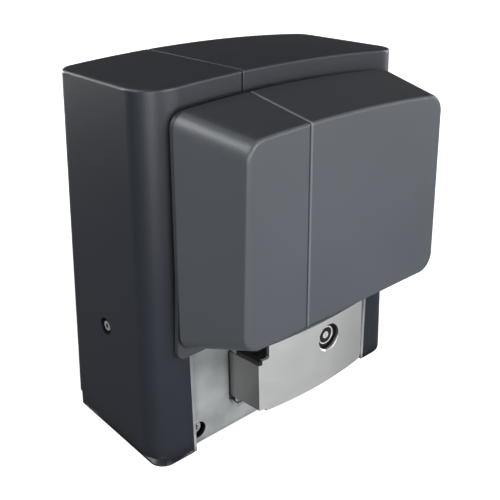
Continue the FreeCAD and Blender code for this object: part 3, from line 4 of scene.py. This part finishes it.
import bmesh
import bpy
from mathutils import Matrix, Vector

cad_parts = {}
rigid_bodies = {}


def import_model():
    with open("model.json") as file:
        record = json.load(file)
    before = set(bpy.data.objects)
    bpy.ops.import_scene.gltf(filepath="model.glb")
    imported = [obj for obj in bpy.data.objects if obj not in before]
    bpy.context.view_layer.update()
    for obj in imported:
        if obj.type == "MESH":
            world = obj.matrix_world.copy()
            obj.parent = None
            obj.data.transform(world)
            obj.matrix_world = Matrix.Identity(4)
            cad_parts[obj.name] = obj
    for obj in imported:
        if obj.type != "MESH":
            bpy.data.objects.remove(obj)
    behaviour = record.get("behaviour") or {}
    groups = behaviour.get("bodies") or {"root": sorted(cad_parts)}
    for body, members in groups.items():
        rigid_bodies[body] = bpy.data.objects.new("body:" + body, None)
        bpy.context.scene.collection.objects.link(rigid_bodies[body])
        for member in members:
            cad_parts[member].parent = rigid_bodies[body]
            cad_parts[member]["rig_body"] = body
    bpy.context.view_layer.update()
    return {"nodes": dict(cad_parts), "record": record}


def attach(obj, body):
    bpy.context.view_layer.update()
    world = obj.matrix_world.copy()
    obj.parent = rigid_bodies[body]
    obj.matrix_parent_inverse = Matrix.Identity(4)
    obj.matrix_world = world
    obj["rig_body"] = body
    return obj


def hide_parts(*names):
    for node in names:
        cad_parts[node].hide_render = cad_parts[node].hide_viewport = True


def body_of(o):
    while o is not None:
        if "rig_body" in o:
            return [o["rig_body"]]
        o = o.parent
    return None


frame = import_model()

SCENE = bpy.context.scene
MM = 0.001
MERGE_REACH = 0.001 * MM
# Samples for the painted shade near other parts
CREVICE_SHADE_SAMPLES = 6

# The groove over the housing and the cover, across: a painted shade line in its hollow and a
# painted highlight on its right edge
GROOVE_SHADE_SPAN = (-52.5 * MM, -51.3 * MM)
GROOVE_HIGHLIGHT_SPAN = (-51.0 * MM, -49.2 * MM)
GROOVE_SHADE_TONE = 0.25
GROOVE_HIGHLIGHT_TONE = 1.65

# The housing's right front round: its centre line and its radius less a hair
TRIM_TURN = (123.3 * MM, -44.6 * MM)
TRIM_ROUND = 26.9 * MM
TRIM_CUT_STEP = 6
TRIM_SHARP_ANGLE = 32

# The front plate and the recesses of its screws, which are darkened by a near-black painted
# shade
PLATE_MIDDLE = -3.0 * MM
PLATE_SCREW_REACH = 102.5 * MM
PLATE_SCREW_HEIGHT = 16.5 * MM
PLATE_RECESS = 8.4 * MM
PLATE_SUNK = -66.3 * MM
PLATE_SHADE_REACH = 14 * MM

FLOOR_HALF = 4.0
SKY_STRENGTH = 0.083
CAMERA_PLACE = (-0.40925, -0.49697, 0.43010)
CAMERA_TILT = 65.81
CAMERA_TURN = -42.51
CAMERA_LENS = 52.89
CAMERA_SHIFT = (-0.0483, -0.0112)


# ---------------------------------------------------------------- shader maths
class Signal:
    """A socket that Python's operators turn into Math nodes."""

    def __init__(self, recipe, socket):
        self.recipe = recipe
        self.socket = socket

    def _maths(self, operation, left, right=None):
        inputs = {0: left} if right is None else {0: left, 1: right}
        return self.recipe.node("ShaderNodeMath", inputs, operation=operation)["Value"]

    def __add__(self, other):
        return self._maths("ADD", self, other)

    __radd__ = __add__

    def __mul__(self, other):
        return self._maths("MULTIPLY", self, other)

    __rmul__ = __mul__

    def __sub__(self, other):
        return self._maths("SUBTRACT", self, other)

    def __rsub__(self, other):
        return self._maths("SUBTRACT", other, self)

    def __abs__(self):
        return self._maths("ABSOLUTE", self)

    def above(self, level, softness):
        """0 below the level, 1 above it, with a soft edge."""
        return self.recipe.node(
            "ShaderNodeMapRange",
            {"Value": self, "From Min": level - softness, "From Max": level + softness},
            interpolation_type="SMOOTHSTEP")["Result"]


class Recipe:
    """A material's node tree, built up from calls."""

    def __init__(self, name):
        self.material = bpy.data.materials.new(name)
        self.material.use_nodes = True
        self.tree = self.material.node_tree
        self.shader = self.tree.nodes["Principled BSDF"]
        self.place = self.node("ShaderNodeTexCoord")["Object"]

    def node(self, kind, inputs=None, **settings):
        """Adds a node, sets it, then feeds its sockets; returns its outputs by name."""
        made = self.tree.nodes.new(kind)
        for name, setting in settings.items():
            setattr(made, name, setting)
        for name, source in (inputs or {}).items():
            self.feed(made.inputs[name], source)
        return {output.name: Signal(self, output) for output in made.outputs
                if output.enabled}

    def feed(self, socket, source):
        """Links a signal to the socket, or sets the socket to a constant."""
        if isinstance(source, Signal):
            self.tree.links.new(source.socket, socket)
        elif isinstance(source, tuple) and len(source) == 3 and socket.type == "RGBA":
            socket.default_value = (*source, 1.0)
        else:
            socket.default_value = source

    def noise(self, scale, detail=2.0, stretch=(1, 1, 1), roughness=0.5):
        """Noise from 0 to 1 whose grain is 1/scale metres across."""
        spot = self.node("ShaderNodeMapping", {"Vector": self.place, "Scale": stretch})
        return self.node("ShaderNodeTexNoise",
                         {"Vector": spot["Vector"], "Scale": scale, "Detail": detail,
                          "Roughness": roughness})["Fac"]

    def blend(self, share, low, high):
        """A colour that runs from low to high with the share."""
        mix = self.tree.nodes.new("ShaderNodeMix")
        mix.data_type = "RGBA"
        self.feed(mix.inputs["Factor"], share)
        self.feed(mix.inputs[6], low)
        self.feed(mix.inputs[7], high)
        return Signal(self, mix.outputs[2])

    def shade(self, tone, share, start, end):
        """The tone times a factor that runs from start to end with the share."""
        factor = start + share * (end - start)
        return self.node("ShaderNodeVectorMath", {0: tone, 1: factor},
                         operation="MULTIPLY")["Vector"]

    def bump(self, height, depth):
        """Tilts the surface by a height that swings over depth metres."""
        bumped = self.node("ShaderNodeBump",
                           {"Height": height, "Distance": depth, "Strength": 1.0})
        self.shader_set(Normal=bumped["Normal"])

    def crevice_shade(self, shade_reach, closed=0.25, open_sky=0.85):
        """A painted shade share: 1 on open surfaces, falling to 0 where something stands within
        the given reach in metres.
        """
        open_share = self.node("ShaderNodeAmbientOcclusion", {"Distance": shade_reach},
                               samples=CREVICE_SHADE_SAMPLES)["AO"]
        return self.node("ShaderNodeMapRange",
                         {"Value": open_share, "From Min": closed, "From Max": open_sky,
                          "To Min": 0.0, "To Max": 1.0},
                         interpolation_type="SMOOTHSTEP")["Result"]

    def facing(self, side, level=0.85):
        """1 on faces that look along the given direction at rest, else 0."""
        normal = self.node("ShaderNodeTexCoord")["Normal"]
        along = self.node("ShaderNodeVectorMath", {0: normal, 1: side},
                          operation="DOT_PRODUCT")["Value"]
        return along.above(level, 0.05)

    def spot(self, centre, axis):
        """Distance in metres from a line through centre along one of the axes."""
        offset = self.node("ShaderNodeVectorMath", {0: self.place, 1: centre},
                           operation="SUBTRACT")["Vector"]
        across = tuple(0.0 if letter == axis else 1.0 for letter in "xyz")
        flat = self.node("ShaderNodeVectorMath", {0: offset, 1: across},
                         operation="MULTIPLY")["Vector"]
        return self.node("ShaderNodeVectorMath", {0: flat}, operation="LENGTH")["Value"]

    def along(self, letter):
        """The place along one axis, in metres."""
        return self.node("ShaderNodeSeparateXYZ", {"Vector": self.place})[letter]

    def shader_set(self, **inputs):
        """Feeds the shader's sockets, named with underscores for spaces."""
        for name, source in inputs.items():
            self.feed(self.shader.inputs[name.replace("_", " ")], source)


# ---------------------------------------------------------------- finishes
def times(colour, factor):
    """The colour made darker or lighter by the factor."""
    return tuple(min(1.0, part * factor) for part in colour)


def grained_plastic(name, colour, roughness, coat=0.0, shade_reach=0.0, groove=False,
                    painted_top_shade=1.0):
    """Moulded plastic with a fine spark-eroded grain, slightly uneven in tone.

    Within the given reach of other parts a painted shade darkens it softly; a groove takes a
    painted shade line in its hollow and a painted highlight on its right edge.
    Faces that look up take a painted shade, the top factor times the tone, and are duller.
    """
    recipe = Recipe(name)
    cloud = recipe.noise(9.0, detail=3.0)
    grains = recipe.noise(900.0, detail=2.0)
    tone = recipe.blend(cloud, times(colour, 0.88), times(colour, 1.10))
    # Painted shade: faces that look up take the top factor times the tone
    upward = recipe.facing((0, 0, 1), 0.88)
    tone = recipe.shade(tone, upward, 1.0, painted_top_shade)
    if groove:
        # Painted shade in the groove's hollow and a painted highlight on its right edge
        for (start, end), painted_line_tone in ((GROOVE_SHADE_SPAN, GROOVE_SHADE_TONE), (GROOVE_HIGHLIGHT_SPAN, GROOVE_HIGHLIGHT_TONE)):
            off_middle = abs(recipe.along("X") - (start + end) / 2)
            line = 1 - off_middle.above((end - start) / 2, 0.3 * MM)
            tone = recipe.blend(line, tone, times(colour, painted_line_tone))
    # Painted shade: the tone darkens where other parts stand near
    if shade_reach:
        tone = recipe.blend(recipe.crevice_shade(shade_reach, 0.42, 0.92), times(colour, 0.3), tone)
    recipe.shader_set(Base_Color=tone,
                      Roughness=roughness + (grains - 0.5) * 0.12 + (cloud - 0.5) * 0.06
                      + upward * 0.16,
                      Coat_Weight=coat, Specular_IOR_Level=0.45)
    recipe.bump(grains, 0.12 * MM)
    return recipe.material


def brushed_metal(name, colour, roughness, stretch=(1, 1, 30), scale=60.0,
                  depth=0.06 * MM, cloudiness=0.12, metallic=1.0, shade_reach=0.0,
                  left_side_shade=None, rightward_shade=1.0):
    """Metal with fine lines along its working direction and faint cloudy patches.

    Given a left-side factor, a painted shade makes the faces that look to the left that much
    darker. Towards the right a painted shade lowers the tone to the right-hand factor. Within
    the given reach of other parts a painted shade darkens it to near black.
    """
    recipe = Recipe(name)
    lines = recipe.noise(scale, detail=4.0, stretch=stretch)
    patches = recipe.noise(30.0, detail=3.0)
    tone = recipe.blend(patches * 0.6 + lines * 0.4, times(colour, 1 - cloudiness),
                        times(colour, 1 + cloudiness))
    # Painted shade: faces that look to the left are darkened by the side factor
    if left_side_shade is not None:
        tone = recipe.blend(recipe.facing((-1, 0, 0)), tone, times(colour, left_side_shade))
    # Painted shade: towards the right the tone falls to the right-hand factor
    tone = recipe.shade(tone, recipe.along("X").above(20 * MM, 80 * MM), 1.0, rightward_shade)
    # Painted shade: the tone falls to near black where other parts stand near
    if shade_reach:
        tone = recipe.blend(recipe.crevice_shade(shade_reach), (0.01, 0.01, 0.01), tone)
    recipe.shader_set(Base_Color=tone, Metallic=metallic,
                      Roughness=roughness + (lines - 0.5) * 0.2 + (patches - 0.5) * 0.1)
    recipe.bump(lines, depth)
    return recipe.material


def cast_metal(name, colour, roughness, lit_foot_tone, shaded_top_tone):
    """Blasted casting: a pebbled skin with patches that shine a little more.

    Its tone runs from the foot's factor to the factor 90 mm above it: painted light at the foot
    and painted shade higher up, under the cover. Painted shade also darkens it near other parts
    and, near black, in the screw recesses.
    """
    recipe = Recipe(name)
    pebbles = recipe.noise(420.0, detail=3.0)
    patches = recipe.noise(16.0, detail=3.0, roughness=0.6)
    tone = recipe.blend(patches.above(0.5, 0.22), times(colour, 0.72), times(colour, 1.16))
    # Painted light at the foot and painted shade higher up, under the cover
    tone = recipe.shade(tone, recipe.along("Z").above(45 * MM, 45 * MM), lit_foot_tone, shaded_top_tone)
    # Painted shade where other parts stand near
    tone = recipe.blend(recipe.crevice_shade(PLATE_SHADE_REACH), (0.02, 0.02, 0.02), tone)
    # Painted shade: the screw recesses are darkened to near black
    for side in (-1, 1):
        centre = (PLATE_MIDDLE + side * PLATE_SCREW_REACH, 0, PLATE_SCREW_HEIGHT)
        inside = 1 - recipe.spot(centre, "y").above(PLATE_RECESS, 0.1 * MM)
        sunk = recipe.along("Y").above(PLATE_SUNK, 0.3 * MM)
        tone = recipe.blend(inside * sunk, tone, (0.012, 0.012, 0.012))
    recipe.shader_set(Base_Color=tone, Metallic=0.8,
                      Roughness=roughness + (patches - 0.5) * 0.18 + (pebbles - 0.5) * 0.1)
    recipe.bump(pebbles, 0.2 * MM)
    return recipe.material


def laminated_steel(name):
    """Sheet stack: thin bright and dark layers along the height."""
    recipe = Recipe(name)
    layer = recipe.node("ShaderNodeMath", {0: recipe.along("Z") * 1500.0},
                        operation="FRACT")["Value"]
    stripe = layer.above(0.5, 0.2)
    stain = recipe.noise(40.0, detail=3.0)
    tone = recipe.blend(stripe * 0.7 + stain * 0.3, (0.09, 0.09, 0.1), (0.34, 0.34, 0.36))
    recipe.shader_set(Base_Color=tone, Metallic=0.9, Roughness=0.35 + stain * 0.2)
    recipe.bump(stripe, 0.1 * MM)
    return recipe.material


def rubber(name):
    """Dull black rubber with a fine grain."""
    recipe = Recipe(name)
    grain = recipe.noise(700.0)
    tone = recipe.blend(grain, (0.008, 0.008, 0.008), (0.02, 0.02, 0.02))
    recipe.shader_set(Base_Color=tone, Roughness=0.62 + grain * 0.2)
    recipe.bump(grain, 0.1 * MM)
    return recipe.material


# One finish for each of the record's material slots
FINISHES = {
    # The housing takes a painted shade near the cover and other parts, and the painted groove
    # lines
    "housing_plastic": grained_plastic("housing_grain", (0.0160, 0.0195, 0.0275), 0.40,
                                       shade_reach=0.022, groove=True),
    # The cover's tops are darkened by a painted shade
    "cover_plastic": grained_plastic("cover_grain", (0.072, 0.080, 0.092), 0.40, groove=True,
                                     painted_top_shade=0.5),
    # The tray takes a painted shade near other parts
    "tray_plastic": grained_plastic("tray_grain", (0.045, 0.048, 0.056), 0.5, shade_reach=0.006),
    "black_plastic": grained_plastic("black_moulding", (0.007, 0.007, 0.007), 0.45),
    # The plate takes painted light at its foot and painted shade under the cover, near other
    # parts and in its screw recesses
    "cast_aluminium": cast_metal("blasted_casting", (0.62, 0.65, 0.66), 0.38,
                                 lit_foot_tone=1.35, shaded_top_tone=0.8),
    # The lever takes a painted shade near the cover, on its left side and towards the right
    "lever_metal": brushed_metal("lever_satin", (0.80, 0.81, 0.81), 0.4, stretch=(1, 1, 14),
                                 metallic=0.77, cloudiness=0.06, shade_reach=0.012, left_side_shade=0.29,
                                 rightward_shade=0.78),
    "shell_aluminium": brushed_metal("extruded_shell", (0.5, 0.51, 0.53), 0.4,
                                     stretch=(20, 20, 1)),
    "ground_steel": brushed_metal("ground_steel", (0.62, 0.62, 0.63), 0.25, metallic=0.85),
    # The zinc takes a painted shade near other parts
    "zinc_steel": brushed_metal("zinc_plating", (0.72, 0.72, 0.71), 0.3, stretch=(1, 1, 1),
                                scale=200.0, metallic=0.7, shade_reach=0.004),
    "lamination_steel": laminated_steel("sheet_stack"),
    "lock_chrome": brushed_metal("lock_plating", (0.88, 0.88, 0.89), 0.25, stretch=(1, 1, 1),
                                 scale=300.0, depth=0.01 * MM, metallic=0.55),
    "bronze": brushed_metal("cut_bronze", (0.66, 0.42, 0.18), 0.3),
    "copper_winding": brushed_metal("varnished_wire", (0.5, 0.17, 0.06), 0.3,
                                    stretch=(30, 30, 1), scale=90.0, depth=0.4 * MM),
    "black_rubber": rubber("moulded_rubber"),
    "board_laminate": grained_plastic("board_green", (0.01, 0.085, 0.03), 0.35, coat=0.3),
    "terminal_plastic": grained_plastic("terminal_green", (0.03, 0.25, 0.08), 0.4),
    "relay_plastic": grained_plastic("relay_blue", (0.02, 0.06, 0.25), 0.3),
    "can_plastic": grained_plastic("capacitor_white", (0.7, 0.7, 0.67), 0.3),
    "sleeve_plastic": grained_plastic("capacitor_sleeve", (0.01, 0.01, 0.015), 0.25),
}


def dress_nodes():
    """Gives each node the finish of its material slot."""
    for entry in frame["record"]["subparts"]:
        materials = frame["nodes"][entry["node"]].data.materials
        materials.clear()
        materials.append(FINISHES[entry["material_slot"]])


# ---------------------------------------------------------------- shapes
def tucked_trim():
    """The base trim with its right front corner drawn in to the housing's own round.

    Upright cuts through the round's centre line give the corner enough points first.
    """
    node = frame["nodes"]["base_trim"]
    mesh = node.data.copy()
    mesh.transform(node.matrix_world)
    item = bpy.data.objects.new("base_trim_corner", mesh)
    SCENE.collection.objects.link(item)
    shape = bmesh.new()
    shape.from_mesh(mesh)
    bmesh.ops.remove_doubles(shape, verts=shape.verts, dist=MERGE_REACH)
    for degrees in range(0, 91, TRIM_CUT_STEP):
        turn = math.radians(degrees)
        bmesh.ops.bisect_plane(shape, geom=shape.verts[:] + shape.edges[:] + shape.faces[:],
                               plane_co=(*TRIM_TURN, 0),
                               plane_no=(math.sin(turn), math.cos(turn), 0))
    for point in shape.verts:
        offset = point.co.xy - Vector(TRIM_TURN)
        in_corner = offset.x > -MERGE_REACH and offset.y < MERGE_REACH
        if in_corner and offset.length > TRIM_ROUND:
            point.co.xy = Vector(TRIM_TURN) + offset.normalized() * TRIM_ROUND
    shape.to_mesh(mesh)
    shape.free()
    mesh.shade_smooth()
    mesh.set_sharp_from_angle(angle=math.radians(TRIM_SHARP_ANGLE))
    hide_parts("base_trim")
    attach(item, body_of(node)[0])


# ---------------------------------------------------------------- studio
def floor():
    """A pale floor that the camera sees as white, and that sends little light back."""
    corners = [(x * FLOOR_HALF, y * FLOOR_HALF, 0)
               for x, y in ((-1, -1), (1, -1), (1, 1), (-1, 1))]
    mesh = bpy.data.meshes.new("studio_floor")
    mesh.from_pydata(corners, [], [(0, 1, 2, 3)])
    item = bpy.data.objects.new("studio_floor", mesh)
    SCENE.collection.objects.link(item)
    recipe = Recipe("pale_floor")
    seen = recipe.node("ShaderNodeLightPath")["Is Camera Ray"]
    recipe.shader_set(Base_Color=recipe.blend(seen, (0.25, 0.25, 0.25), (0.95, 0.95, 0.95)),
                      Roughness=0.8, Specular_IOR_Level=0.0,
                      Emission_Color=recipe.blend(seen, (0, 0, 0), (1, 1, 1)),
                      Emission_Strength=0.8)
    mesh.materials.append(recipe.material)


LIGHTS = (
    # name, azimuth leftwards from the front, height, strength, width and whether it also
    # lights dull surfaces; angles in degrees
    ("front_low", -4, 4, 2.9, 50),
    ("front_high", 0, 25, 0.55, 40),
    ("right_front", -22, 4, 1.4, 50),
    ("left_corner", 52, 4, 2.2, 22),
    ("left_side", 78, 4, 0.35, 40),
    ("rear_left", 148, 38, 0.6, 12),
    ("edge_glint", 122, 40, 1.6, 26, False),
    ("rear_low", 172, 3, 1.8, 16),
    ("right_low", -84, 3, 1.2, 16),
)


def soft_light(name, azimuth, height, strength, width, on_dull=True):
    """A far soft lamp that shines from the given direction."""
    data = bpy.data.lights.new(name, "SUN")
    data.energy = strength
    data.angle = math.radians(width)
    item = bpy.data.objects.new(name, data)
    item.visible_diffuse = on_dull
    SCENE.collection.objects.link(item)
    turn, rise = math.radians(azimuth), math.radians(height)
    source = Vector((-math.sin(turn) * math.cos(rise), -math.cos(turn) * math.cos(rise),
                     math.sin(rise)))
    item.rotation_euler = source.to_track_quat("Z", "Y").to_euler()


def studio():
    """A bright low key from the front, a dim sky and a white backdrop for the camera."""
    world = bpy.data.worlds.new("studio")
    SCENE.world = world
    world.use_nodes = True
    tree = world.node_tree
    lit = tree.nodes["Background"]
    lit.inputs["Color"].default_value = (1, 1, 1, 1)
    lit.inputs["Strength"].default_value = SKY_STRENGTH
    seen = tree.nodes.new("ShaderNodeBackground")
    seen.inputs["Color"].default_value = (1, 1, 1, 1)
    seen.inputs["Strength"].default_value = 1.0
    rays = tree.nodes.new("ShaderNodeLightPath")
    mix = tree.nodes.new("ShaderNodeMixShader")
    tree.links.new(rays.outputs["Is Camera Ray"], mix.inputs["Fac"])
    tree.links.new(lit.outputs["Background"], mix.inputs[1])
    tree.links.new(seen.outputs["Background"], mix.inputs[2])
    tree.links.new(mix.outputs["Shader"], tree.nodes["World Output"].inputs["Surface"])
    for light in LIGHTS:
        soft_light(*light)
    SCENE.view_settings.view_transform = "Standard"


def camera():
    """The view from the front left, a little from above."""
    data = bpy.data.cameras.new("camera")
    data.sensor_width = 36.0
    data.lens = CAMERA_LENS
    data.shift_x, data.shift_y = CAMERA_SHIFT
    item = bpy.data.objects.new("camera", data)
    SCENE.collection.objects.link(item)
    item.location = CAMERA_PLACE
    item.rotation_euler = (math.radians(CAMERA_TILT), 0, math.radians(CAMERA_TURN))
    SCENE.camera = item


dress_nodes()
tucked_trim()
floor()
studio()
camera()
